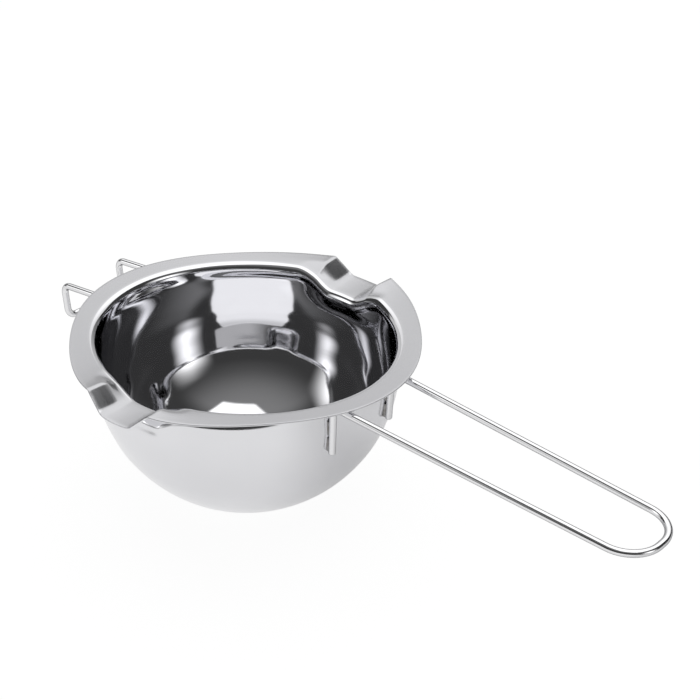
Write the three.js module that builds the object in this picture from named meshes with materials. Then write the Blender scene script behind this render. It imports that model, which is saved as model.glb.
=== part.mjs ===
// Melting pot for a water bath: a bowl drawn from one steel sheet, with two pouring spouts pressed into
// its rim, a long loop handle of bent wire, and a small wire rest that hooks over a saucepan's edge.
// Both wires are spot-welded to the wall, so nothing on the pot moves.
// Millimetres, +Z up. The origin is the middle of the base's underside, the handle points along +X,
// the wire rest along -X and the spouts along +Y and -Y.
import * as THREE from "three";

const degrees = THREE.MathUtils.degToRad;

// Bowl
const SHEET = 0.6; // thickness of the sheet
const BOWL_RADIUS = 58.2; // outside of the round wall
const BASE_FLAT_RADIUS = 26; // flat disc that the pot stands on
const BASE_ROUND = 6; // outside radius from the flat base into the round wall
const WALL_RISE = 9.1; // straight wall between the round part and the rim's bend
const RIM_BEND = 2.3; // radius of the bend from the wall into the rim, on the underside
const RIM_WIDTH = 9.6; // mean reach of the rim, from the outside of the wall to its edge
const RIM_RISE = degrees(3); // slope of the rim, outer edge up
const RIM_LOBE = 2; // swell of the rim's edge at the handle, the wire rest and both spouts
const BEND_SWELL = 1.2; // how far the bend inside the rim lies out at the handle and the wire rest
const BEND_DRAW = 2.6; // how far it is drawn in beside the spouts

// Pouring spouts
const SPOUT_WIDTH = 29; // between the two creases of a spout
const SPOUT_LIP_DEPTH = 5.8; // channel below the rim, at the outer edge
const SPOUT_ROOT_DEPTH = 6.2; // channel below the rim, at the bend into the bowl
const SPOUT_PUSH = 2.2; // how far the channel's root is pushed into the bowl
const SPOUT_FULLNESS = 2.4; // power of the channel's section, flatter in the middle than a parabola
const SPOUT_BLEND = 18; // height of wall over which the channel fades out below the bend
const SPOUT_TIP_LIFT = 0.9; // how far the rim's corners stand up beside a spout
const SPOUT_TIP_RUN = 7; // length of rim over which that lift fades
const SPOUT_TURNS = { left: 0, right: degrees(2.6) }; // off the square to the handle, towards it

// Wires and their welds
const WIRE = 2.7; // diameter of both wires
const WIRE_BEND = 3.6; // bend radius at the wires' corners, on the centre line
const RIM_GAP = 0.3; // between a wire and the underside of the rim
const TAIL_DROP = 20.4; // length of a tail below the wire's arm
const TAIL_LEAN = degrees(3); // inward lean of a tail, which follows the wall
const WELD_THICKNESS = 0.2; // between a tail and the wall, where the weld is thinnest
const WELD_GAP = 0.15; // left clear on both sides of a weld
const WELD_WRAP = degrees(47); // how far a weld reaches round the wire to each side
const WELD_LENGTH = 4;
const WELD_APART = 3; // between the two welds of a tail

// Loop handle
const HANDLE_LENGTH = 113.6; // from the rim's edge to the end of the loop
const HANDLE_ROOT_SPREAD = 32; // between the arms' centre lines at the bowl
const HANDLE_TIP_SPREAD = 26.2; // the same at the end of the loop
const HANDLE_END_BEND = 12.4; // bend radius of the loop's round end, on the centre line
const HANDLE_END_FLAT = 0.5; // least straight run in the middle of that end
const HANDLE_FALL = degrees(3.45); // slope of the arms, end down

// Wire rest
const REST_REACH = 18.5; // from the rim's edge to the centre line of the hook's legs
const REST_SPREAD = 29; // between the two arms' centre lines
const REST_DROP = 14.2; // length of the hook's legs, between centre lines
const REST_FALL = degrees(5.5); // slope of the arms, end down

// Fineness of the facets
const COLUMNS_PER_QUARTER = 22; // columns of facets in a quarter of the bowl
const COLUMNS_PER_HALF_SPOUT = 6; // how many of them lie in half a spout
const ROUND_STEPS = 8; // along the round wall
const SMALL_ROUND_STEPS = 3; // round the edge of the base
const BEND_STEPS = 4; // round the rim's bend
const RISE_STEPS = 3; // up the straight wall
const RIM_STEPS = 3; // across the rim
const WIRE_SIDES = 12;
const WIRE_ARC_STEP = degrees(15);

// Places worked out from those sizes
const lobes = 4; // handle, wire rest and two spouts
const rimRadius = BOWL_RADIUS + RIM_WIDTH;
const bendRadius = BOWL_RADIUS + RIM_BEND;
const roundToBase = Math.asin(BASE_FLAT_RADIUS / (BOWL_RADIUS - BASE_ROUND));
const roundCentre = BASE_ROUND + (BOWL_RADIUS - BASE_ROUND) * Math.cos(roundToBase);
const wallTop = roundCentre + WALL_RISE;
const tailRadius = BOWL_RADIUS + WELD_THICKNESS + 2 * WELD_GAP + WIRE / 2;

const steel = (color, roughness) =>
  new THREE.MeshStandardMaterial({ color, roughness, metalness: 1 });
const polishedSheet = steel(0xc6c6ca, 0.2);
const brightWire = steel(0xd2d2d4, 0.16);
const weldSteel = steel(0x9c9a98, 0.45);

// Points of an arc, its angles measured from the radius that points straight out.
function arc(centreRadius, centreHeight, radius, from, to, steps) {
  return Array.from({ length: steps + 1 }, (_, step) => {
    const angle = THREE.MathUtils.lerp(from, to, step / steps);
    return new THREE.Vector2(
      centreRadius + radius * Math.cos(angle),
      centreHeight + radius * Math.sin(angle),
    );
  });
}

// One face of the sheet from the middle of the base to the edge of the rim. inset is the distance
// from the outer face: 0 outside and under the rim, SHEET inside and on top of it.
function sheetFace(inset) {
  const straightDown = -Math.PI / 2;
  const base = new THREE.Vector2(0, inset);
  const edgeRound = arc(
    BASE_FLAT_RADIUS,
    BASE_ROUND,
    BASE_ROUND - inset,
    straightDown,
    straightDown + roundToBase,
    SMALL_ROUND_STEPS,
  );
  const roundWall = arc(
    0,
    roundCentre,
    BOWL_RADIUS - inset,
    straightDown + roundToBase,
    0,
    ROUND_STEPS,
  ).slice(1);
  const straightWall = Array.from(
    { length: RISE_STEPS - 1 },
    (_, step) =>
      new THREE.Vector2(BOWL_RADIUS - inset, roundCentre + (WALL_RISE * (step + 1)) / RISE_STEPS),
  );
  const bend = arc(
    bendRadius,
    wallTop,
    RIM_BEND + inset,
    Math.PI,
    Math.PI / 2 + RIM_RISE,
    BEND_STEPS,
  );
  const rimStart = bend[bend.length - 1];
  const rim = Array.from({ length: RIM_STEPS }, (_, step) => {
    const reach = ((rimRadius - rimStart.x) * (step + 1)) / RIM_STEPS;
    return new THREE.Vector2(rimStart.x + reach, rimStart.y + reach * Math.tan(RIM_RISE));
  });
  return [base, ...edgeRound, ...roundWall, ...straightWall, ...bend, ...rim];
}

// Turns a revolved blank into the pressed bowl: the rim swells into four lobes and the two spouts are
// pushed down. The columns of facets are drawn together at a spout, so one runs along each crease.
function pressSpouts(blank) {
  const position = blank.getAttribute("position");
  const quarter = Math.PI / 2;
  const place = new THREE.Vector3();
  for (let index = 0; index < position.count; index++) {
    place.fromBufferAttribute(position, index);
    const radius = Math.hypot(place.x, place.y);
    if (radius < SHEET) continue;
    const side = place.y < 0 ? -1 : 1;
    const fromSpout = Math.atan2(place.x, side * place.y);
    const column = (Math.abs(fromSpout) / quarter) * COLUMNS_PER_QUARTER;

    const across = THREE.MathUtils.clamp((radius - bendRadius) / (rimRadius - bendRadius), 0, 1);
    const upWall = THREE.MathUtils.smoothstep(place.z, roundCentre, wallTop);
    const intoSpout = THREE.MathUtils.smoothstep(place.z, wallTop - SPOUT_BLEND, wallTop);

    const crease = Math.asin(SPOUT_WIDTH / 2 / Math.max(radius, BOWL_RADIUS));
    const offset = column / COLUMNS_PER_HALF_SPOUT;
    const beyond =
      (column - COLUMNS_PER_HALF_SPOUT) / (COLUMNS_PER_QUARTER - COLUMNS_PER_HALF_SPOUT);
    const turn =
      offset < 1
        ? Math.asin(offset * Math.sin(crease))
        : THREE.MathUtils.lerp(crease, quarter, beyond);

    const channel = offset < 1 ? 1 - offset ** SPOUT_FULLNESS : 0;
    const bendShift = THREE.MathUtils.lerp(-BEND_DRAW, BEND_SWELL, Math.sin(turn) ** 4);
    const rimShift = RIM_LOBE * Math.cos(lobes * turn);
    const push = SPOUT_PUSH * channel * intoSpout * (1 - across);
    const pressed = radius + THREE.MathUtils.lerp(bendShift * upWall, rimShift, across) - push;
    const lift = SPOUT_TIP_LIFT * across;
    const depth = THREE.MathUtils.lerp(SPOUT_ROOT_DEPTH * intoSpout, SPOUT_LIP_DEPTH, across);
    const press =
      offset < 1
        ? lift - (depth + lift) * channel
        : lift * Math.exp((-pressed * (turn - crease)) / SPOUT_TIP_RUN);

    const sideTurn = side < 0 ? SPOUT_TURNS.right : SPOUT_TURNS.left;
    const placed = turn * Math.sign(fromSpout) + sideTurn * Math.cos(turn);
    position.setXYZ(
      index,
      pressed * Math.sin(placed),
      side * pressed * Math.cos(placed),
      place.z + press,
    );
  }
  return blank;
}

function makeBowl() {
  const profile = [...sheetFace(0), ...sheetFace(SHEET).reverse()];
  const blank = new THREE.LatheGeometry(profile, 4 * COLUMNS_PER_QUARTER).rotateX(Math.PI / 2);
  const bowl = new THREE.Mesh(pressSpouts(blank), polishedSheet);
  bowl.name = "bowl";
  return bowl;
}

// A wire that runs straight between its corners and round an arc at each of them.
class BentWire extends THREE.Curve {
  constructor(corners, bends) {
    super();
    const start = corners[0];
    const end = corners[corners.length - 1];
    this.stations = [{ point: start, along: corners[1].clone().sub(start).normalize() }];
    bends.forEach((bend, index) => this.bendAt(corners.slice(index, index + 3), bend));
    this.stations.push({ point: end, along: this.stations[this.stations.length - 1].along });
  }

  bendAt([before, corner, after], bend) {
    const incoming = corner.clone().sub(before).normalize();
    const outgoing = after.clone().sub(corner).normalize();
    const angle = incoming.angleTo(outgoing);
    const axis = incoming.clone().cross(outgoing).normalize();
    const inward = outgoing.clone().sub(incoming).normalize();
    const centre = corner.clone().addScaledVector(inward, bend / Math.cos(angle / 2));
    const first = corner.clone().addScaledVector(incoming, -bend * Math.tan(angle / 2));
    const steps = Math.ceil(angle / WIRE_ARC_STEP);
    for (let step = 0; step <= steps; step++) {
      const turned = (angle * step) / steps;
      const spoke = first.clone().sub(centre).applyAxisAngle(axis, turned);
      this.stations.push({
        point: spoke.add(centre),
        along: incoming.clone().applyAxisAngle(axis, turned),
      });
    }
  }

  get steps() {
    return this.stations.length - 1;
  }

  getPointAt(share, target = new THREE.Vector3()) {
    return target.copy(this.stations[Math.round(share * this.steps)].point);
  }

  getTangentAt(share, target = new THREE.Vector3()) {
    return target.copy(this.stations[Math.round(share * this.steps)].along);
  }
}

function makeWire(name, corners, bends) {
  const path = new BentWire(corners, bends);
  const section = new THREE.Shape(
    Array.from({ length: WIRE_SIDES }, (_, side) => {
      const angle = (2 * Math.PI * side) / WIRE_SIDES;
      return new THREE.Vector2(Math.cos(angle), Math.sin(angle)).multiplyScalar(WIRE / 2);
    }),
  );
  const geometry = new THREE.ExtrudeGeometry(section, { steps: path.steps, extrudePath: path });
  const wire = new THREE.Mesh(geometry, brightWire);
  wire.name = name;
  return wire;
}

// Height of the rim's underside at a radius, before the spouts are pressed.
function rimUnderside(radius) {
  const top = wallTop + RIM_BEND / Math.cos(RIM_RISE);
  return top + (radius - bendRadius) * Math.tan(RIM_RISE);
}

// How a wire's tail lies against the wall: the distance of its centre line from the pot's axis at a height.
function tailReach(height) {
  return tailRadius / Math.cos(TAIL_LEAN) + (height - roundCentre) * Math.tan(TAIL_LEAN);
}

// Where an arm turns down into its tail, and the tail's lower end. heading is +1 for the handle's side
// and -1 for the wire rest's, side is the sign of y.
function tailCorners(heading, side, spread, armHeight) {
  const rootRadius = tailReach(armHeight);
  const halfSpread = spread / 2;
  const outward = new THREE.Vector2(
    heading * Math.sqrt(rootRadius ** 2 - halfSpread ** 2),
    side * halfSpread,
  ).normalize();
  const lower = armHeight - TAIL_DROP;
  const lowerRadius = tailReach(lower);
  return {
    root: new THREE.Vector3(outward.x * rootRadius, outward.y * rootRadius, armHeight),
    end: new THREE.Vector3(outward.x * lowerRadius, outward.y * lowerRadius, lower),
    outward,
  };
}

// Height of an arm's centre line where it turns down, with RIM_GAP left to the rim above it.
function armHeightAt(fall) {
  const steeper = Math.max(0, -Math.tan(RIM_RISE) - Math.tan(fall));
  const clear = (RIM_GAP + WIRE / 2) / Math.cos(RIM_RISE);
  return rimUnderside(tailRadius) - clear - steeper * (rimRadius + RIM_LOBE - tailRadius);
}

function makeHandle() {
  const armHeight = armHeightAt(HANDLE_FALL);
  const right = tailCorners(1, -1, HANDLE_ROOT_SPREAD, armHeight);
  const left = tailCorners(1, 1, HANDLE_ROOT_SPREAD, armHeight);
  const tipX = rimRadius + RIM_LOBE + HANDLE_LENGTH - WIRE / 2;
  const tipHeight = armHeight - (tipX - right.root.x) * Math.tan(HANDLE_FALL);
  const tipRight = new THREE.Vector3(tipX, -HANDLE_TIP_SPREAD / 2, tipHeight);
  const tipLeft = new THREE.Vector3(tipX, HANDLE_TIP_SPREAD / 2, tipHeight);
  const endTurn = tipRight.clone().sub(right.root).angleTo(tipLeft.clone().sub(tipRight));
  const widestEnd = (HANDLE_TIP_SPREAD - HANDLE_END_FLAT) / 2 / Math.tan(endTurn / 2);
  const endBend = Math.min(HANDLE_END_BEND, widestEnd);
  return makeWire(
    "handle_wire",
    [right.end, right.root, tipRight, tipLeft, left.root, left.end],
    [WIRE_BEND, endBend, endBend, WIRE_BEND],
  );
}

function makeRest() {
  const armHeight = armHeightAt(REST_FALL);
  const right = tailCorners(-1, -1, REST_SPREAD, armHeight);
  const left = tailCorners(-1, 1, REST_SPREAD, armHeight);
  const hookX = -(rimRadius + RIM_LOBE + REST_REACH);
  const hookHeight = armHeight + (hookX - right.root.x) * Math.tan(REST_FALL);
  const legEndX = hookX + REST_DROP * Math.sin(REST_FALL);
  const legEndHeight = hookHeight - REST_DROP * Math.cos(REST_FALL);
  const hookCorners = (side) => [
    new THREE.Vector3(hookX, (side * REST_SPREAD) / 2, hookHeight),
    new THREE.Vector3(legEndX, (side * REST_SPREAD) / 2, legEndHeight),
  ];
  return makeWire(
    "rest_wire",
    [
      right.end,
      right.root,
      ...hookCorners(-1),
      ...hookCorners(1).reverse(),
      left.root,
      left.end,
    ],
    Array(6).fill(WIRE_BEND),
  );
}

// The two welds between a tail and the wall: flat against the wall, hollowed to the wire.
function makeWelds(name, { outward }) {
  const hollow = WIRE / 2 + WELD_GAP;
  const halfWidth = hollow * Math.sin(WELD_WRAP);
  const wallSide = -(hollow + WELD_THICKNESS);
  const toWall = -Math.PI / 2;
  const section = new THREE.Shape()
    .moveTo(-halfWidth, wallSide)
    .lineTo(halfWidth, wallSide)
    .absarc(0, 0, hollow, toWall + WELD_WRAP, toWall - WELD_WRAP, true);
  const along = new THREE.Vector3(
    outward.x * Math.sin(TAIL_LEAN),
    outward.y * Math.sin(TAIL_LEAN),
    Math.cos(TAIL_LEAN),
  );
  const away = new THREE.Vector3(
    outward.x * Math.cos(TAIL_LEAN),
    outward.y * Math.cos(TAIL_LEAN),
    -Math.sin(TAIL_LEAN),
  );
  const tail = new THREE.Group();
  tail.quaternion.setFromRotationMatrix(
    new THREE.Matrix4().makeBasis(away.clone().cross(along), away, along),
  );
  tail.position.copy(away).multiplyScalar(tailRadius);
  tail.position.z += roundCentre;
  for (const [level, sign] of [["upper", 1], ["lower", -1]]) {
    const geometry = new THREE.ExtrudeGeometry(section, {
      depth: WELD_LENGTH,
      bevelEnabled: false,
      curveSegments: WIRE_SIDES / 2,
    });
    const weld = new THREE.Mesh(geometry, weldSteel);
    weld.name = `${name}_${level}`;
    weld.position.z = (sign * (WELD_LENGTH + WELD_APART) - WELD_LENGTH) / 2;
    tail.add(weld);
  }
  return tail;
}

const pot = new THREE.Group();
pot.add(makeBowl(), makeHandle(), makeRest());
for (const [word, side] of [["left", 1], ["right", -1]]) {
  const handleTail = tailCorners(1, side, HANDLE_ROOT_SPREAD, armHeightAt(HANDLE_FALL));
  const restTail = tailCorners(-1, side, REST_SPREAD, armHeightAt(REST_FALL));
  pot.add(makeWelds(`handle_weld_${word}`, handleTail), makeWelds(`rest_weld_${word}`, restTail));
}

export default pot;
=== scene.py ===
"""Melting pot for a water bath: a pressed steel bowl with two spouts, a bent wire handle and a wire rest.

Metres, +Z up. The origin is the middle of the base's underside, the handle points along +X, the wire rest
along -X and the spouts along +Y and -Y.
"""

import math

import bmesh
import bpy
from bpy.props import FloatProperty, FloatVectorProperty, IntProperty, PointerProperty
from bpy.types import Operator, Panel, PropertyGroup
from mathutils import Matrix, Vector


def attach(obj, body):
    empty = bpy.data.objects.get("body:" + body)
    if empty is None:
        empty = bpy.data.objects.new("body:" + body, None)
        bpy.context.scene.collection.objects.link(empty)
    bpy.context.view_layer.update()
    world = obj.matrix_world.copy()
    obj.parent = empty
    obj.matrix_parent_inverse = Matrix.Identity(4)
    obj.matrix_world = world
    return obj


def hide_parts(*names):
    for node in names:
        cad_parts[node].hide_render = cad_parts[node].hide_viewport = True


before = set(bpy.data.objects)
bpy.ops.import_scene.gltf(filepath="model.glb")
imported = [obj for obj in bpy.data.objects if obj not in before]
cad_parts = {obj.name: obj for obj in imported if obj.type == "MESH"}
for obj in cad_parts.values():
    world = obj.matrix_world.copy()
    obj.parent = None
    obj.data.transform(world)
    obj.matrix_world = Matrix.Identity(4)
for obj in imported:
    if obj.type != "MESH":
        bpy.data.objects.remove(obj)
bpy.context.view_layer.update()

bl_info = {
    "name": "Melting Pot",
    "version": (1, 0, 0),
    "blender": (4, 5, 0),
    "location": "View3D > Sidebar > Melting Pot",
    "description": "Presses, bends and finishes a steel melting pot for a water bath",
    "category": "Add Mesh",
}

MM = 0.001
UP = Vector((0.0, 0.0, 1.0))


# Sizes and colours that a user would change

def length(label, millimetres, purpose):
    return FloatProperty(
        name=label, description=purpose, default=millimetres * MM, min=0.0, precision=5, unit="LENGTH"
    )


def angle(label, degrees, purpose):
    return FloatProperty(
        name=label, description=purpose, default=math.radians(degrees), subtype="ANGLE", unit="ROTATION"
    )


def share(label, value, purpose):
    return FloatProperty(name=label, description=purpose, default=value, min=0.0, max=1.0, subtype="FACTOR")


def amount(label, value, purpose):
    return FloatProperty(name=label, description=purpose, default=value, min=0.0)


def number(label, value, purpose):
    return IntProperty(name=label, description=purpose, default=value, min=1)


def colour(label, value, purpose):
    return FloatVectorProperty(
        name=label, description=purpose, default=value, size=3, min=0.0, max=1.0, subtype="COLOR"
    )


class BowlSizes(PropertyGroup):
    sheet: length("Sheet", 0.6, "Thickness of the sheet")
    radius: length("Radius", 58.2, "Outside of the round wall")
    base_flat: length("Base flat", 26, "Radius of the flat disc that the pot stands on")
    base_round: length("Base round", 6, "Outside radius from the flat base into the round wall")
    wall_rise: length("Wall rise", 9.1, "Straight wall between the round part and the rim's bend")
    rim_bend: length("Rim bend", 2.3, "Radius of the bend from the wall into the rim, on the underside")
    rim_width: length("Rim width", 9.6, "Mean reach of the rim, from the outside of the wall to its edge")
    rim_rise: angle("Rim rise", 3, "Slope of the rim, outer edge up")
    rim_lobe: length("Rim lobe", 2, "Swell of the rim's edge at the handle, the wire rest and both spouts")
    bend_swell: length("Bend swell", 1.2, "How far the bend inside the rim lies out at the wires")
    bend_draw: length("Bend draw", 2.6, "How far that bend is drawn in beside the spouts")
    wave: length("Wave", 0.14, "Slight wave that deep drawing leaves in the round wall")
    wave_middle: angle("Wave middle", 65, "Where the wave crosses the wall, up from the middle of the base")
    wave_half: angle("Wave half", 11, "Half of its width")
    draw_height: length("Draw height", 4, "Height of wall over which it leans out or in to that bend")
    edge_round: length("Edge round", 0.18, "Rounding of the sheet's cut edge")
    columns: number("Columns", 80, "Columns of faces in a quarter of the bowl")

    @property
    def rim_radius(self):
        return self.radius + self.rim_width

    @property
    def bend_radius(self):
        return self.radius + self.rim_bend

    @property
    def round_to_base(self):
        return math.asin(self.base_flat / (self.radius - self.base_round))

    @property
    def round_centre(self):
        return self.base_round + (self.radius - self.base_round) * math.cos(self.round_to_base)

    @property
    def wall_top(self):
        return self.round_centre + self.wall_rise

    def reach_to(self, place):
        """Length along the sheet from the middle of the base to a point, before the spouts are pressed."""
        radius = math.hypot(place.x, place.y)
        if place.z < self.round_centre:
            return self.radius * math.atan2(radius, self.round_centre - place.z)
        return self.radius * math.pi / 2 + place.z - self.round_centre + max(0.0, radius - self.radius)

    def rim_underside(self, radius):
        top = self.wall_top + self.rim_bend / math.cos(self.rim_rise)
        return top + (radius - self.bend_radius) * math.tan(self.rim_rise)


class SpoutSizes(PropertyGroup):
    width: length("Width", 29, "Between the two creases of a spout")
    lip_depth: length("Lip depth", 6.2, "Channel below the rim, at the outer edge")
    root_depth: length("Root depth", 6.2, "Channel below the rim, at the bend into the bowl")
    push: length("Push", 2.2, "How far the channel's root is pushed into the bowl")
    wall: share("Wall", 0.54, "Part of half the channel's width that its sloping wall takes up")
    floor_sag: share("Floor sag", 0.2, "Fall of the channel's floor to its middle, as a part of its depth")
    floor_round: share("Floor round", 0.15, "Part of the depth that rounds the wall into the floor")
    root_part: share("Root part", 0.48, "Part of the rim's width over which it widens into the bowl")
    dip_start: amount("Dip start", 0.4, "Where the wide dip at the root begins to rise, in half widths")
    dip_end: amount("Dip end", 1.6, "Where that dip has risen to the rim")
    blend: length("Blend", 18, "Height of wall over which the channel fades out below the bend")
    tip_lift: length("Tip lift", 0.9, "How far the rim's corners stand up beside a spout")
    tip_run: length("Tip run", 7, "Length of rim over which that lift fades")
    left_turn: angle("Left turn", 0, "How far the left spout sits off the square to the handle, towards it")
    right_turn: angle("Right turn", 2.6, "The same for the right spout")
    fold: length("Fold", 0.35, "Height within which the crease is rounded")
    columns: number("Columns", 22, "Columns of faces in half a spout")


class WireSizes(PropertyGroup):
    diameter: length("Diameter", 2.7, "Diameter of both wires")
    bend: length("Bend", 3.6, "Bend radius at the wires' corners, on the centre line")
    rim_gap: length("Rim gap", 0.05, "Between a wire and the underside of the rim")
    wall_gap: length("Wall gap", 0.05, "Between a tail and the wall, filled by the welds")
    tail_drop: length("Tail drop", 20.4, "Length of a tail below the wire's arm")
    tail_lean: angle("Tail lean", 3, "Inward lean of a tail, which follows the wall")
    end_round: length("End round", 0.8, "Rounding of the wire's cut ends")
    sides: number("Sides", 28, "Faces around the wire")
    weld_wrap: angle("Weld wrap", 52, "How far a weld reaches round the wire to each side")
    weld_length: length("Weld length", 5.8, "Length of one weld along a tail")
    weld_apart: length("Weld apart", 1.2, "Between the two welds of a tail")
    weld_toe: share("Weld toe", 0.4, "How much wider a weld is at the wall than at the wire")
    weld_round: length("Weld round", 0.12, "Rounding of a weld's edges")


class HandleSizes(PropertyGroup):
    reach: length("Reach", 113.6, "From the rim's edge to the end of the loop")
    root_spread: length("Root spread", 32, "Between the arms' centre lines at the bowl")
    tip_spread: length("Tip spread", 26.2, "The same at the end of the loop")
    end_bend: length("End bend", 12.4, "Bend radius of the loop's round end, on the centre line")
    fall: angle("Fall", 3.45, "Slope of the arms, end down")


class RestSizes(PropertyGroup):
    reach: length("Reach", 18.5, "From the rim's edge to the centre line of the hook's legs")
    spread: length("Spread", 29, "Between the two arms' centre lines")
    drop: length("Drop", 14.2, "Length of the hook's legs, between centre lines")
    fall: angle("Fall", 5.5, "Slope of the arms, end down")


class SteelFinish(PropertyGroup):
    sheet: colour("Sheet", (0.76, 0.76, 0.78), "Polished stainless sheet")
    rim: colour("Rim", (0.48, 0.48, 0.495), "Satined sheet of the rim")
    wire: colour("Wire", (0.80, 0.80, 0.81), "Bright drawn wire")
    # Painted shade: a dark tint that darkens the wire along its outline, where it turns away from the eye
    wire_edge_shade: colour("Wire edge", (0.25, 0.25, 0.26), "Tint of the wire where it turns away from the eye")
    weld: colour("Weld", (0.36, 0.355, 0.35), "Cleaned weld, still darker than the sheet")
    heat: colour("Heat", (0.24, 0.225, 0.21), "Tint that the welding heat leaves")
    polish: share("Polish", 0.05, "Roughness of the polished inside")
    satin: share("Satin", 0.17, "Roughness of the rim")
    outside: share("Outside", 0.16, "Roughness of the outside")
    drawn: share("Drawn", 0.09, "Roughness of the wire")
    dull: share("Dull", 0.42, "Roughness of the welds")


class StudioSettings(PropertyGroup):
    floor: colour("Floor", (0.92, 0.92, 0.92), "Pale floor and backdrop")
    floor_white: share("Floor white", 0.9, "How far the floor is plain white to the eye")
    floor_lit: share("Floor lit", 0.75, "How far it is plain white in the steel, before the pot")
    floor_shaded: share("Floor shaded", 0.2, "The same behind the pot on the right")
    overhead: amount("Overhead", 1.35, "Brightness of the softbox above")
    left: amount("Left", 2.2, "Brightness of the softbox on the camera's left")
    right: amount("Right", 2.4, "Brightness of the softbox on the camera's right")
    backdrop: amount("Backdrop", 0.6, "Brightness of the grey backdrop behind the pot")
    front_glow: amount("Front glow", 0.2, "Brightness of the glow high up on the camera's side")
    room: amount("Room", 0.05, "Brightness of the dark room between them")
    aim: FloatVectorProperty(
        name="Aim",
        description="Point in the middle of the picture",
        default=(0.0379, 0.0160, 0.0627),
        subtype="XYZ",
    )
    distance: length("Distance", 600, "From the camera to that point")
    azimuth: angle("Azimuth", 41.07, "Turn of the camera about the pot's axis, 0 looking along +Y")
    elevation: angle("Elevation", 30.15, "Height of the camera above the rim's plane")
    lens: FloatProperty(name="Lens", description="Focal length", default=83.5, min=1.0, unit="CAMERA")


class MeltingPot(PropertyGroup):
    bowl: PointerProperty(type=BowlSizes)
    spout: PointerProperty(type=SpoutSizes)
    wire: PointerProperty(type=WireSizes)
    handle: PointerProperty(type=HandleSizes)
    rest: PointerProperty(type=RestSizes)
    finish: PointerProperty(type=SteelFinish)
    studio: PointerProperty(type=StudioSettings)


# Sums on numbers

def clamp(value):
    return min(max(value, 0.0), 1.0)


def smooth_rise(value, low, high):
    """0 below low, 1 above high and a smooth rise between them."""
    part = clamp((value - low) / (high - low))
    return part * part * (3.0 - 2.0 * part)


def mix(start, end, part):
    """From start, where part is 0, to end, where it is 1. part may be a socket."""
    return start + (end - start) * part


def rounded_lower(first, second, within):
    """The lower of two heights, rounded off where they cross."""
    overlap = max(within - abs(first - second), 0.0)
    return min(first, second) - overlap * overlap / (4.0 * within)


# Shader sums

class Socket:
    """An output of a node, used in sums as if it were a number."""

    def __init__(self, tree, output=None):
        self.tree = tree
        self.output = output

    def node(self, kind, settings=None, inputs=None, output=0):
        made = self.tree.nodes.new(kind)
        for name, value in (settings or {}).items():
            setattr(made, name, value)
        for name, value in (inputs or {}).items():
            if isinstance(value, Socket):
                self.tree.links.new(value.output, made.inputs[name])
            else:
                made.inputs[name].default_value = value
        return Socket(self.tree, made.outputs[output])

    def maths(self, operation, *others):
        values = dict(enumerate((self, *others)))
        return self.node("ShaderNodeMath", {"operation": operation}, values)

    def __add__(self, other):
        return self.maths("ADD", other)

    __radd__ = __add__

    def __sub__(self, other):
        return self.maths("SUBTRACT", other)

    def __rsub__(self, other):
        return self.maths("MULTIPLY_ADD", -1.0, other)

    def __mul__(self, other):
        return self.maths("MULTIPLY", other)

    __rmul__ = __mul__

    def __truediv__(self, other):
        return self.maths("DIVIDE", other)

    def __abs__(self):
        return self.maths("ABSOLUTE")

    def ramp(self, low, high):
        """0 below low, 1 above high and a smooth rise between them."""
        return self.node(
            "ShaderNodeMapRange",
            {"interpolation_type": "SMOOTHSTEP"},
            {"Value": self, "From Min": low, "From Max": high},
        )


def rgba(value):
    return (*value, 1.0)


def start_material(name):
    """A new material with a metal shader, and the place on the piece as a socket."""
    material = bpy.data.materials.new(name)
    material.use_nodes = True
    tree = material.node_tree
    place = Socket(tree).node("ShaderNodeTexCoord", output="Object")
    shader = tree.nodes["Principled BSDF"]
    shader.inputs["Metallic"].default_value = 1.0
    return material, place, shader


def plug(shader, name, value):
    """Links a socket to one of a shader's inputs."""
    value.tree.links.new(value.output, shader.inputs[name])


def split(place):
    """The x, y and z of a vector as three sockets."""
    return [place.node("ShaderNodeSeparateXYZ", inputs={"Vector": place}, output=axis) for axis in "XYZ"]


def join(x, y, z):
    return x.node("ShaderNodeCombineXYZ", inputs={"X": x, "Y": y, "Z": z})


def kept(place, name, output="Fac"):
    """What the mesh keeps under a name at each of its points."""
    return place.node("ShaderNodeAttribute", {"attribute_name": name}, output=output)


def noise(place, scale, detail=2.0):
    """Even noise from 0 to 1, with its grains about 1 / scale long."""
    return place.node("ShaderNodeTexNoise", inputs={"Vector": place, "Scale": scale, "Detail": detail})


def blend(part, first, second):
    """One colour where part is 0 and another where it is 1."""
    return part.node(
        "ShaderNodeMix",
        {"data_type": "RGBA"},
        {"Factor": part, 6: first, 7: second},
        output=2,
    )


def bump(height, distance, strength):
    """A normal that follows fine relief."""
    inputs = {"Height": height, "Distance": distance, "Strength": strength}
    return height.node("ShaderNodeBump", inputs=inputs, output="Normal")


def shade(value, factor):
    """A colour as the shader takes it, made lighter or darker."""
    return rgba(part * factor for part in value)


def toned(tone, value, spread):
    """A colour that goes from a little darker to a little lighter with a tone."""
    return blend(tone, shade(value, 1.0 - spread), shade(value, 1.0 + spread))


def uneven(rough, tone, spread):
    """A roughness that goes a share below and above its mean with a tone."""
    return rough * (1.0 - spread + 2.0 * spread * tone)


# Grain of the finishes: how fine it is, and how far tone, roughness and relief vary with it
POLISH_RINGS = 900.0
POLISH_ROUND = 0.6
SHEET_CLOUDS = 60.0
RING_SHARE = 0.35
SHEET_TONE = 0.03
SHEET_UNEVEN = 0.2
SHEET_RELIEF = 0.12
WIRE_STREAKS = 25.0
WIRE_LINES = 9.0
WIRE_TONE = 0.04
WIRE_UNEVEN = 0.3
WIRE_RELIEF = 0.1
LINE_DEPTH = 0.02 * MM
WELD_GRAINS = 1500.0
WELD_TINTS = 300.0
WELD_UNEVEN = 0.3
WELD_RELIEF = 0.5
WELD_DEPTH = 0.05 * MM
FINE_DETAIL = 3.0


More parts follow.
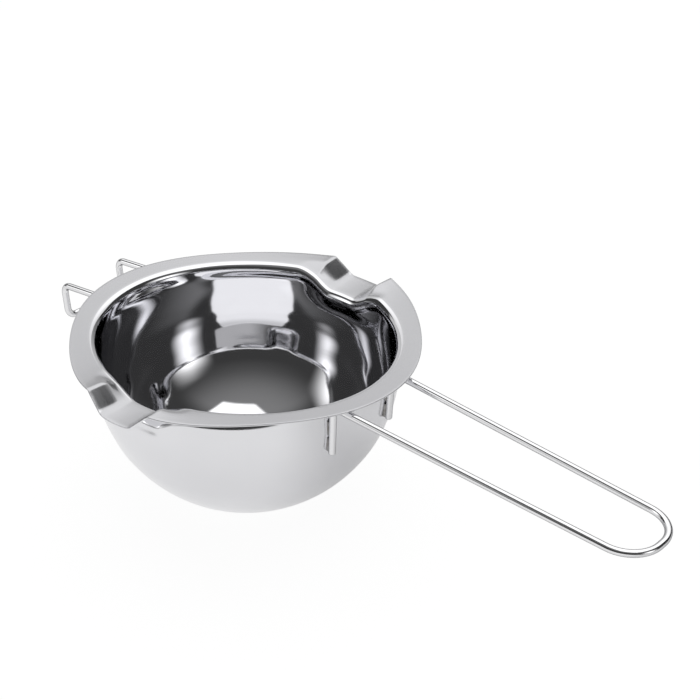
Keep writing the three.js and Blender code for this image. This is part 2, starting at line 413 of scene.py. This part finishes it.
def sheet_material(pot):
    """Stainless sheet: polished in rings inside, satined on the rim and plainly polished outside."""
    material, place, shader = start_material("polished_sheet")
    finish = pot.finish
    x, y, _ = split(place)
    radius = (x * x + y * y).maths("SQRT").maths("MAXIMUM", 1e-5)
    reach = kept(place, "reach")
    face = kept(place, "face")
    rim = (1.0 - abs(face - 1.0)).maths("MAXIMUM", 0.0)
    outside = (face - 1.0).maths("MAXIMUM", 0.0)
    ring = join(x / radius * POLISH_ROUND, y / radius * POLISH_ROUND, reach * POLISH_RINGS)
    lines = noise(ring, 1.0, FINE_DETAIL)
    cloud = noise(place, SHEET_CLOUDS)
    tone = lines * RING_SHARE + cloud * (1.0 - RING_SHARE)
    polished = toned(tone, finish.sheet, SHEET_TONE)
    satined = toned(tone, finish.rim, SHEET_TONE)
    plug(shader, "Base Color", blend(rim, polished, satined))
    rough = finish.polish + rim * (finish.satin - finish.polish)
    rough = rough + outside * (finish.outside - finish.polish)
    plug(shader, "Roughness", uneven(rough, lines, SHEET_UNEVEN))
    plug(shader, "Normal", bump(lines, LINE_DEPTH, SHEET_RELIEF))
    return material


def wire_material(pot):
    """Bright wire, with the fine lines of its drawing along it."""
    material, place, shader = start_material("drawn_wire")
    finish = pot.finish
    around = kept(place, "around", "Vector")
    lines_round = around.node(
        "ShaderNodeVectorMath", {"operation": "SCALE"}, {0: around, "Scale": WIRE_LINES}
    )
    stretched = place.node(
        "ShaderNodeVectorMath",
        {"operation": "MULTIPLY_ADD"},
        {0: place, 1: (WIRE_STREAKS, WIRE_STREAKS, WIRE_STREAKS), 2: lines_round},
    )
    lines = noise(stretched, 1.0, FINE_DETAIL)
    plug(shader, "Base Color", toned(lines, finish.wire, WIRE_TONE))
    plug(shader, "Roughness", uneven(finish.drawn, lines, WIRE_UNEVEN))
    # Painted shade: the dark specular tint darkens the wire along its outline
    shader.inputs["Specular Tint"].default_value = rgba(finish.wire_edge_shade)
    plug(shader, "Normal", bump(lines, LINE_DEPTH, WIRE_RELIEF))
    return material


def weld_material(pot):
    """Dull weld metal with a tint from the heat."""
    material, place, shader = start_material("weld_metal")
    finish = pot.finish
    grains = noise(place, WELD_GRAINS, FINE_DETAIL)
    tint = noise(place, WELD_TINTS).ramp(0.4, 0.7)
    plug(shader, "Base Color", blend(tint, rgba(finish.weld), rgba(finish.heat)))
    plug(shader, "Roughness", uneven(finish.dull, grains, WELD_UNEVEN))
    plug(shader, "Normal", bump(grains, WELD_DEPTH, WELD_RELIEF))
    return material


def panel(depth, across, along, corners, soft):
    """1 where a ray meets a flat light panel and 0 elsewhere. depth, across and along are the ray in the
    panel's own directions, corners its outline at a depth of 1, against the clock, and soft the reach over
    which its edges fade."""
    ahead = depth.maths("MAXIMUM", 1e-3)
    sideways = across / ahead
    upward = along / ahead
    lit = depth.ramp(0.0, 0.02)
    for (x, y), (next_x, next_y) in zip(corners, corners[1:] + corners[:1]):
        side = math.hypot(next_x - x, next_y - y)
        inwards = (sideways - x) * ((y - next_y) / side) + (upward - y) * ((next_x - x) / side)
        lit = lit * inwards.ramp(-soft, soft)
    return lit


# Outlines of the lights at a depth of 1, the reach over which their edges fade, and how they are turned
OVERHEAD_BOX = [
    (-1.7, -2.3),
    (2.1, -2.3),
    (2.1, -1.9),
    (0.9, -0.2),
    (0.42, 0.43),
    (-0.06, 0.43),
    (-0.62, -0.2),
    (-1.6, -1.9),
]
LEFT_BOX = [(-0.24, 0.12), (0.24, 0.12), (0.24, 0.66), (-0.24, 0.66)]
RIGHT_BOX = [(-0.2, 0.1), (0.2, 0.1), (0.2, 0.5), (-0.2, 0.5)]
BACKDROP = [(-0.8, -0.2), (1.15, -0.2), (1.15, 0.45), (-0.8, 0.45)]
OVERHEAD_EDGE = 0.025
LEFT_EDGE = 0.3
RIGHT_EDGE = 0.26
BACKDROP_EDGE = 0.04
LEFT_TURN = math.radians(-86)
RIGHT_TURN = math.radians(57)
BEHIND = math.radians(180)
OVERHEAD_LOW = 0.62
BACKDROP_FALL = 0.8


def studio_world(studio):
    """The softboxes, the backdrop and the dark room round the pot, and plain white to the camera."""
    world = bpy.data.worlds.new("studio")
    world.use_nodes = True
    tree = world.node_tree
    ray = Socket(tree).node("ShaderNodeTexCoord", output="Generated")
    x, y, up = split(ray)
    cosine, sine = math.cos(studio.azimuth), math.sin(studio.azimuth)
    right = x * cosine + y * sine
    front = x * sine - y * cosine

    def standing(turn, corners, soft):
        """A panel that stands upright, turned from the camera's side to the right."""
        depth = right * math.sin(turn) + front * math.cos(turn)
        across = right * math.cos(turn) - front * math.sin(turn)
        return panel(depth, across, up, corners, soft)

    fading = mix(OVERHEAD_LOW, 1.0, up.ramp(0.38, 0.66))
    overhead = panel(up, right, front, OVERHEAD_BOX, OVERHEAD_EDGE) * fading
    left = standing(LEFT_TURN, LEFT_BOX, LEFT_EDGE)
    right_box = standing(RIGHT_TURN, RIGHT_BOX, RIGHT_EDGE)
    backdrop = standing(BEHIND, BACKDROP, BACKDROP_EDGE) * (1.0 - BACKDROP_FALL * right.ramp(-0.05, 0.6))
    glow = front.ramp(0.0, 0.3) * up.ramp(0.5, 0.95)
    light = studio.room + overhead * studio.overhead + left * studio.left + right_box * studio.right
    light = light + backdrop * studio.backdrop + glow * studio.front_glow
    seen = ray.node("ShaderNodeLightPath", output="Is Camera Ray")
    background = tree.nodes["Background"]
    background.inputs["Color"].default_value = (1.0, 1.0, 1.0, 1.0)
    plug(background, "Strength", light + seen * (1.0 - light))
    return world


# The floor, and the turn of its shaded part from the camera's right
FLOOR_ROUGHNESS = 0.9
FLOOR_GLOW = 1.05
FLOOR_HALF = 3.0
SHADED_TURN = math.radians(30)


def floor_material(studio):
    """A pale floor, mostly plain white to the camera and partly so in the steel, that keeps the shadow."""
    material = bpy.data.materials.new("pale_floor")
    material.use_nodes = True
    tree = material.node_tree
    base = Socket(tree)
    kinds = ("Is Camera Ray", "Is Glossy Ray", "Is Transmission Ray")
    camera, glossy, through = [base.node("ShaderNodeLightPath", output=kind) for kind in kinds]
    mirrored = (glossy + through).maths("MINIMUM", 1.0)
    x, y, _ = split(base.node("ShaderNodeTexCoord", output="Object"))
    away = studio.azimuth + SHADED_TURN
    shaded = (x * math.cos(away) + y * math.sin(away)).ramp(-0.03, 0.05)
    lit = mix(studio.floor_lit, studio.floor_shaded, shaded)
    seen = camera * studio.floor_white + mirrored * lit
    shader = tree.nodes["Principled BSDF"]
    shader.inputs["Base Color"].default_value = rgba(studio.floor)
    shader.inputs["Roughness"].default_value = FLOOR_ROUGHNESS
    white = base.node("ShaderNodeEmission", inputs={"Strength": FLOOR_GLOW})
    mixed = base.node("ShaderNodeMixShader", inputs={0: seen.maths("MINIMUM", 1.0), 2: white})
    tree.links.new(shader.outputs[0], mixed.output.node.inputs[1])
    tree.links.new(mixed.output, tree.nodes["Material Output"].inputs["Surface"])
    return material


# Modelling

def finish_piece(context, bm, name, material, nodes):
    """Makes an object of a mesh that is done, and lets it stand for its CAD nodes."""
    mesh = bpy.data.meshes.new(name)
    bm.to_mesh(mesh)
    bm.free()
    mesh.shade_smooth()
    mesh.materials.append(material)
    piece = bpy.data.objects.new(name, mesh)
    context.scene.collection.objects.link(piece)
    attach(piece, "root")
    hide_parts(*nodes)


def only(geometry, kind):
    """The vertices, or the edges, among what an operator made."""
    return [part for part in geometry if isinstance(part, kind)]


def sharp_edges(bm, turn):
    """Edges at which the surface turns by more than an angle."""
    return [edge for edge in bm.edges if edge.calc_face_angle(0.0) > turn]


def round_off(bm, edges, radius, segments):
    """Rounds edges with a bevel."""
    bmesh.ops.bevel(
        bm, geom=edges, offset=radius, segments=segments, profile=0.5, affect="EDGES", material=-1
    )


# Rows of faces on the bowl's profile and the welds, steps of a bend, and what counts as an edge to round
BASE_ROWS = 5
BASE_ROUND_ROWS = 6
ROUND_WALL_ROWS = 40
WALL_ROWS = 8
BEND_ROWS = 10
RIM_ROWS = 8
WELD_ROWS_ROUND = 8
WELD_ROWS_ALONG = 6
WIRE_STEP = math.radians(5)
EDGE_SEGMENTS = 3
WIRE_END_SEGMENTS = 6
SHEET_EDGE = math.radians(60)
WELD_EDGE = math.radians(40)


def draw_straight(bm, tip, reach, steps):
    """Draws the profile straight on from its last vertex."""
    for _ in range(steps):
        tip = bmesh.ops.extrude_vert_indiv(bm, verts=[tip])["verts"][0]
        bmesh.ops.translate(bm, verts=[tip], vec=reach / steps)
    return tip


def draw_round(bm, tip, centre, turn, steps):
    """Draws the profile on round an arc, towards +Z where turn is positive."""
    spun = bmesh.ops.spin(bm, geom=[tip], cent=centre, axis=(0, -1, 0), angle=turn, steps=steps)
    return only(spun["geom_last"], bmesh.types.BMVert)[0]


def draw_wave(bm, bowl):
    """Moves the round wall out a little below the middle of the wave and in above it."""
    for vert in bm.verts:
        spoke = vert.co - bowl.round_centre * UP
        off = (math.atan2(spoke.x, -spoke.z) - bowl.wave_middle) / bowl.wave_half
        if abs(off) < 1.0:
            fading = (1.0 + math.cos(math.pi * off)) / 2.0
            vert.co -= bowl.wave * math.sin(math.pi * off) * fading * spoke.normalized()


def draw_profile(bm, bowl):
    """The outer face of the sheet, from the middle of the base to the edge of the rim."""
    tip = bm.verts.new((0.0, 0.0, 0.0))
    tip = draw_straight(bm, tip, Vector((bowl.base_flat, 0.0, 0.0)), BASE_ROWS)
    centre = (bowl.base_flat, 0.0, bowl.base_round)
    tip = draw_round(bm, tip, centre, bowl.round_to_base, BASE_ROUND_ROWS)
    centre = (0.0, 0.0, bowl.round_centre)
    tip = draw_round(bm, tip, centre, math.pi / 2 - bowl.round_to_base, ROUND_WALL_ROWS)
    draw_wave(bm, bowl)
    tip = draw_straight(bm, tip, Vector((0.0, 0.0, bowl.wall_rise)), WALL_ROWS)
    centre = (bowl.bend_radius, 0.0, bowl.wall_top)
    tip = draw_round(bm, tip, centre, bowl.rim_rise - math.pi / 2, BEND_ROWS)
    rim_reach = bowl.rim_radius - tip.co.x
    draw_straight(bm, tip, Vector((rim_reach, 0.0, rim_reach * math.tan(bowl.rim_rise))), RIM_ROWS)


# How the columns of faces crowd at a spout's creases and even out between the spouts, how far inside the rim
# the crisp trough begins, as a part of the root's, and how much of the bend is satined with the rim
CREASE_CROWDING = 0.75
OPEN_EVENNESS = 0.3
CRISP_START = 0.4
SATIN_START = 0.3


def crowd(column, crease, bowl, spout):
    """Turn from a spout's middle to a column of faces. The columns are drawn together at its creases."""
    quarter = math.pi / 2
    inside = column / spout.columns
    if inside < 1.0:
        drawn_out = mix(inside, math.sin(inside * quarter), CREASE_CROWDING)
        return math.asin(drawn_out * math.sin(crease))
    beyond = (column - spout.columns) / (bowl.columns - spout.columns)
    return mix(crease, quarter, mix(beyond * beyond, beyond, OPEN_EVENNESS))


def press(place, bowl, spout):
    """Where a point of the spun sheet goes: the rim swells into four lobes and the spouts go down.
    A spout is a crisp trough at its lip and a wide soft dip at its root."""
    radius = math.hypot(place.x, place.y)
    side = math.copysign(1.0, place.y)
    from_spout = math.atan2(place.x, side * place.y)
    column = abs(from_spout) / (math.pi / 2) * bowl.columns
    across = clamp((radius - bowl.bend_radius) / (bowl.rim_radius - bowl.bend_radius))
    up_wall = smooth_rise(place.z, bowl.wall_top - bowl.draw_height, bowl.wall_top)
    into_spout = smooth_rise(place.z, bowl.wall_top - spout.blend, bowl.wall_top)
    crease = math.asin(spout.width / 2 / max(radius, bowl.radius))
    turn = crowd(column, crease, bowl, spout)
    offset = math.sin(turn) / math.sin(crease)
    floor = 1.0 - spout.floor_sag * offset * offset
    channel = rounded_lower((1.0 - offset) / spout.wall, floor, spout.floor_round)
    dip = 1.0 - smooth_rise(offset, spout.dip_start, spout.dip_end)
    bend_shift = mix(-bowl.bend_draw, bowl.bend_swell, math.sin(turn) ** 4)
    rim_shift = bowl.rim_lobe * math.cos(4.0 * turn)
    push = spout.push * dip * into_spout * (1.0 - across)
    pressed = radius + mix(bend_shift * up_wall, rim_shift, across) - push
    trough = spout.tip_lift - (spout.lip_depth + spout.tip_lift) * channel
    corner = spout.tip_lift * math.exp(-pressed * (turn - crease) / spout.tip_run)
    lip_height = rounded_lower(trough, corner, spout.fold)
    crisp = smooth_rise(across, -CRISP_START * spout.root_part, spout.root_part)
    height = into_spout * mix(-spout.root_depth * dip, lip_height, crisp)
    spout_turn = spout.left_turn if side > 0.0 else spout.right_turn
    placed = math.copysign(turn, from_spout) + spout_turn * math.cos(turn)
    return Vector((pressed * math.sin(placed), side * pressed * math.cos(placed), place.z + height))


def press_bowl(bowl, spout):
    """Spins the profile, presses the rim and the spouts, and gives the sheet its thickness."""
    bm = bmesh.new()
    reach = bm.verts.layers.float.new("reach")
    face = bm.verts.layers.float.new("face")
    draw_profile(bm, bowl)
    bmesh.ops.spin(
        bm,
        geom=bm.verts[:] + bm.edges[:],
        cent=(0.0, 0.0, 0.0),
        axis=UP,
        angle=math.tau,
        steps=4 * bowl.columns,
        use_merge=True,
    )
    bmesh.ops.remove_doubles(bm, verts=bm.verts, dist=0.001 * MM)
    satin_start = bowl.bend_radius - SATIN_START * bowl.rim_bend
    for vert in bm.verts:
        radius = math.hypot(vert.co.x, vert.co.y)
        vert[reach] = bowl.reach_to(vert.co)
        vert[face] = smooth_rise(radius, satin_start, bowl.bend_radius)
        if radius > bowl.sheet:
            vert.co = press(vert.co, bowl, spout)
    bmesh.ops.recalc_face_normals(bm, faces=bm.faces)
    bmesh.ops.reverse_faces(bm, faces=bm.faces)
    bmesh.ops.solidify(bm, geom=bm.faces[:], thickness=bowl.sheet)
    bm.normal_update()
    above = UP * 2 * bowl.rim_radius
    for vert in bm.verts:
        if vert.normal.dot(vert.co - above) > 0.0:
            vert[face] = 2.0
    round_off(bm, sharp_edges(bm, SHEET_EDGE), bowl.edge_round, EDGE_SEGMENTS)
    return bm


class WireBender:
    """Feeds a round wire out and bends it, as a bending machine does."""

    def __init__(self, start, along, wire):
        self.bm = bmesh.new()
        around = self.bm.verts.layers.float_vector.new("around")
        self.point = start.copy()
        self.along = along.normalized()
        self.wire = wire
        turned = UP.rotation_difference(self.along).to_matrix().to_4x4()
        made = bmesh.ops.create_circle(
            self.bm,
            cap_ends=True,
            segments=wire.sides,
            radius=wire.diameter / 2,
            matrix=Matrix.Translation(start) @ turned,
        )
        self.verts = made["verts"]
        for vert in self.verts:
            vert[around] = turned.to_3x3().inverted() @ (vert.co - start) / (wire.diameter / 2)
        self.edges = self.bm.edges[:]
        self.ends = self.bm.edges[:]

    def take_end(self, geometry):
        self.verts = only(geometry, bmesh.types.BMVert)
        self.edges = only(geometry, bmesh.types.BMEdge)

    def feed(self, distance):
        made = bmesh.ops.extrude_edge_only(self.bm, edges=self.edges)["geom"]
        self.take_end(made)
        fed = self.along * distance
        bmesh.ops.translate(self.bm, verts=self.verts, vec=fed)
        self.point += fed

    def bend(self, onward, radius):
        """Bends the wire from its direction into another one."""
        axis = self.along.cross(onward).normalized()
        turn = self.along.angle(onward)
        centre = self.point + axis.cross(self.along) * radius
        steps = math.ceil(turn / WIRE_STEP)
        spun = bmesh.ops.spin(
            self.bm, geom=self.verts + self.edges, cent=centre, axis=axis, angle=turn, steps=steps
        )
        self.take_end(spun["geom_last"])
        self.point = centre + Matrix.Rotation(turn, 3, axis) @ (self.point - centre)
        self.along = onward.normalized()

    def cut(self):
        """Cuts the wire off and rounds both of its ends."""
        bmesh.ops.edgeloop_fill(self.bm, edges=self.edges)
        bmesh.ops.recalc_face_normals(self.bm, faces=self.bm.faces)
        round_off(self.bm, self.ends + self.edges, self.wire.end_round, WIRE_END_SEGMENTS)
        return self.bm


def bend_wire(corners, bends, wire):
    """Bends a wire that runs straight between its corners and round an arc at each of them."""
    headings = [(after - before).normalized() for before, after in zip(corners, corners[1:])]
    bender = WireBender(corners[0], headings[0], wire)
    for corner, bend, heading, onward in zip(corners[1:], bends, headings, headings[1:]):
        setback = bend * math.tan(heading.angle(onward) / 2)
        bender.feed((corner - bender.point).length - setback)
        bender.bend(onward, bend)
    bender.feed((corners[-1] - bender.point).length)
    return bender.cut()


class Tail:
    """How one end of a wire lies down the wall: where it turns down, where it ends and which way it faces.
    heading is 1 on the handle's side and -1 on the wire rest's, side is the sign of y."""

    def __init__(self, pot, heading, side, spread, fall):
        wire = pot.wire
        self.lean = wire.tail_lean
        self.radius = pot.bowl.radius + wire.wall_gap + wire.diameter / 2
        self.level = pot.bowl.round_centre
        self.arm_height = arm_height(pot, fall)
        root = self.reach(self.arm_height)
        aside = side * spread / 2
        ahead = heading * math.sqrt(root * root - aside * aside)
        self.outward = Vector((ahead, aside, 0.0)).normalized()
        self.root = self.place(self.arm_height)
        self.end = self.place(self.arm_height - wire.tail_drop)
        self.along = (self.root - self.end).normalized()
        self.away = (self.outward - self.along * self.outward.dot(self.along)).normalized()
        self.nearest = self.away * self.radius + UP * self.level

    def reach(self, height):
        return self.radius / math.cos(self.lean) + (height - self.level) * math.tan(self.lean)

    def place(self, height):
        return self.outward * self.reach(height) + UP * height


def arm_height(pot, fall):
    """Height of an arm's centre line where it turns down, with the gap left to the rim above it."""
    bowl, wire = pot.bowl, pot.wire
    tail_radius = bowl.radius + wire.wall_gap + wire.diameter / 2
    steeper = max(0.0, -math.tan(bowl.rim_rise) - math.tan(fall))
    clear = (wire.rim_gap + wire.diameter / 2) / math.cos(bowl.rim_rise)
    rim_reach = bowl.rim_radius + bowl.rim_lobe - tail_radius
    return bowl.rim_underside(tail_radius) - clear - steeper * rim_reach


def handle_tail(pot, side):
    return Tail(pot, 1, side, pot.handle.root_spread, pot.handle.fall)


def rest_tail(pot, side):
    return Tail(pot, -1, side, pot.rest.spread, pot.rest.fall)


def wall_radius(bowl, height):
    """Outside of the wall at a height below the rim's bend."""
    below = min(height - bowl.round_centre, 0.0)
    return math.sqrt(bowl.radius * bowl.radius - below * below)


def lay_weld(pot, tail, middle):
    """A bead of weld in the nook between a tail and the wall. middle is its place along the tail, up from
    where the tail lies nearest to the wall."""
    bowl, wire = pot.bowl, pot.wire
    bm = bmesh.new()
    centre = tail.nearest + tail.along * middle
    start = centre - tail.along * wire.weld_length / 2
    spoke = Matrix.Rotation(-wire.weld_wrap, 3, tail.along) @ -tail.away * wire.diameter / 2
    bm.verts.new(start + spoke)
    wrapped = 2 * wire.weld_wrap
    bmesh.ops.spin(
        bm, geom=bm.verts[:], cent=start, axis=tail.along, angle=wrapped, steps=WELD_ROWS_ROUND
    )
    edges = bm.edges[:]
    for _ in range(WELD_ROWS_ALONG):
        made = bmesh.ops.extrude_edge_only(bm, edges=edges)["geom"]
        ring = only(made, bmesh.types.BMVert)
        edges = only(made, bmesh.types.BMEdge)
        edges = [edge for edge in edges if all(vert in ring for vert in edge.verts)]
        bmesh.ops.translate(bm, verts=ring, vec=tail.along * wire.weld_length / WELD_ROWS_ALONG)
    made = bmesh.ops.extrude_face_region(bm, geom=bm.faces[:], use_keep_orig=True)["geom"]
    across = tail.along.cross(tail.away)
    for vert in only(made, bmesh.types.BMVert):
        offset = vert.co - centre
        part = offset.dot(tail.along) / (wire.weld_length / 2)
        widening = wire.weld_toe * math.sqrt(max(1.0 - part * part, 0.0))
        vert.co += across * offset.dot(across) * widening
        flat = Vector((vert.co.x, vert.co.y, 0.0)).normalized()
        vert.co = flat * (wall_radius(bowl, vert.co.z) - bowl.sheet / 4) + UP * vert.co.z
    bmesh.ops.recalc_face_normals(bm, faces=bm.faces)
    round_off(bm, sharp_edges(bm, WELD_EDGE), wire.weld_round, EDGE_SEGMENTS)
    return bm


# Stage

SENSOR_WIDTH = 36.0
CLIP_START = 0.01


def place_camera(scene, studio):
    """Puts the camera where the aim, its turn, its height and its distance say."""
    tipped = Matrix.Rotation(math.pi / 2 - studio.elevation, 4, "X")
    turned = Matrix.Rotation(studio.azimuth, 4, "Z") @ tipped
    back = Matrix.Translation((0.0, 0.0, studio.distance))
    camera = bpy.data.objects.new("camera", bpy.data.cameras.new("camera"))
    camera.matrix_world = Matrix.Translation(studio.aim) @ turned @ back
    camera.data.lens = studio.lens
    camera.data.sensor_width = SENSOR_WIDTH
    camera.data.clip_start = CLIP_START
    scene.collection.objects.link(camera)
    scene.camera = camera


def lay_floor(scene, studio):
    """Lays the floor that the pot stands on."""
    bm = bmesh.new()
    bmesh.ops.create_grid(bm, x_segments=1, y_segments=1, size=FLOOR_HALF)
    mesh = bpy.data.meshes.new("floor")
    bm.to_mesh(mesh)
    bm.free()
    mesh.materials.append(floor_material(studio))
    floor = bpy.data.objects.new("floor", mesh)
    scene.collection.objects.link(floor)


# Operators

class PressBowl(Operator):
    """Press the bowl with its rim and both spouts"""

    bl_idname = "melting_pot.press_bowl"
    bl_label = "Press Bowl"

    def execute(self, context):
        pot = context.scene.melting_pot
        bm = press_bowl(pot.bowl, pot.spout)
        finish_piece(context, bm, "pressed_bowl", sheet_material(pot), ["bowl"])
        return {"FINISHED"}


class BendHandle(Operator):
    """Bend the long loop handle"""

    bl_idname = "melting_pot.bend_handle"
    bl_label = "Bend Handle"

    def execute(self, context):
        pot = context.scene.melting_pot
        handle, wire = pot.handle, pot.wire
        right, left = handle_tail(pot, -1), handle_tail(pot, 1)
        tip_x = pot.bowl.rim_radius + pot.bowl.rim_lobe + handle.reach - wire.diameter / 2
        tip_height = right.arm_height - (tip_x - right.root.x) * math.tan(handle.fall)
        tips = [Vector((tip_x, side * handle.tip_spread / 2, tip_height)) for side in (-1, 1)]
        corners = [right.end, right.root, *tips, left.root, left.end]
        bends = [wire.bend, handle.end_bend, handle.end_bend, wire.bend]
        bm = bend_wire(corners, bends, wire)
        finish_piece(context, bm, "handle_loop", wire_material(pot), ["handle_wire"])
        return {"FINISHED"}


class BendRest(Operator):
    """Bend the small rest that hooks over a saucepan's edge"""

    bl_idname = "melting_pot.bend_rest"
    bl_label = "Bend Rest"

    def execute(self, context):
        pot = context.scene.melting_pot
        rest, wire = pot.rest, pot.wire
        right, left = rest_tail(pot, -1), rest_tail(pot, 1)
        hook_x = -(pot.bowl.rim_radius + pot.bowl.rim_lobe + rest.reach)
        hook_height = right.arm_height + (hook_x - right.root.x) * math.tan(rest.fall)
        leg = rest.drop * Vector((math.sin(rest.fall), 0.0, -math.cos(rest.fall)))
        shoulders = [Vector((hook_x, side * rest.spread / 2, hook_height)) for side in (-1, 1)]
        feet = [shoulder + leg for shoulder in shoulders]
        corners = [right.end, right.root, shoulders[0], *feet, shoulders[1], left.root, left.end]
        bm = bend_wire(corners, [wire.bend] * 6, wire)
        finish_piece(context, bm, "rest_hook", wire_material(pot), ["rest_wire"])
        return {"FINISHED"}


class LayWelds(Operator):
    """Weld the four tails to the wall, twice each"""

    bl_idname = "melting_pot.lay_welds"
    bl_label = "Lay Welds"

    def execute(self, context):
        pot = context.scene.melting_pot
        material = weld_material(pot)
        middle = (pot.wire.weld_length + pot.wire.weld_apart) / 2
        for wire, tail_of in (("handle", handle_tail), ("rest", rest_tail)):
            for word, side in (("left", 1), ("right", -1)):
                tail = tail_of(pot, side)
                for level, sign in (("upper", 1), ("lower", -1)):
                    bm = lay_weld(pot, tail, sign * middle)
                    name = f"{wire}_bead_{word}_{level}"
                    node = f"{wire}_weld_{word}_{level}"
                    finish_piece(context, bm, name, material, [node])
        return {"FINISHED"}


class SetStage(Operator):
    """Lay the floor, hang the lights and place the camera"""

    bl_idname = "melting_pot.set_stage"
    bl_label = "Set Stage"

    def execute(self, context):
        scene = context.scene
        studio = scene.melting_pot.studio
        scene.view_settings.view_transform = "Standard"
        place_camera(scene, studio)
        lay_floor(scene, studio)
        scene.world = studio_world(studio)
        return {"FINISHED"}


class MeltingPotPanel(Panel):
    """Lists the steps in the order in which the pot is made"""

    bl_idname = "VIEW3D_PT_melting_pot"
    bl_label = "Melting Pot"
    bl_space_type = "VIEW_3D"
    bl_region_type = "UI"
    bl_category = "Melting Pot"

    def draw(self, context):
        for step in (SetStage, PressBowl, BendHandle, BendRest, LayWelds):
            self.layout.operator(step.bl_idname)


CLASSES = (
    BowlSizes,
    SpoutSizes,
    WireSizes,
    HandleSizes,
    RestSizes,
    SteelFinish,
    StudioSettings,
    MeltingPot,
    PressBowl,
    BendHandle,
    BendRest,
    LayWelds,
    SetStage,
    MeltingPotPanel,
)


def register():
    for kind in CLASSES:
        bpy.utils.register_class(kind)
    bpy.types.Scene.melting_pot = PointerProperty(type=MeltingPot)


def unregister():
    del bpy.types.Scene.melting_pot
    for kind in reversed(CLASSES):
        bpy.utils.unregister_class(kind)


def main():
    register()
    bpy.ops.melting_pot.set_stage()
    bpy.ops.melting_pot.press_bowl()
    bpy.ops.melting_pot.bend_handle()
    bpy.ops.melting_pot.bend_rest()
    bpy.ops.melting_pot.lay_welds()


if __name__ == "__main__":
    main()
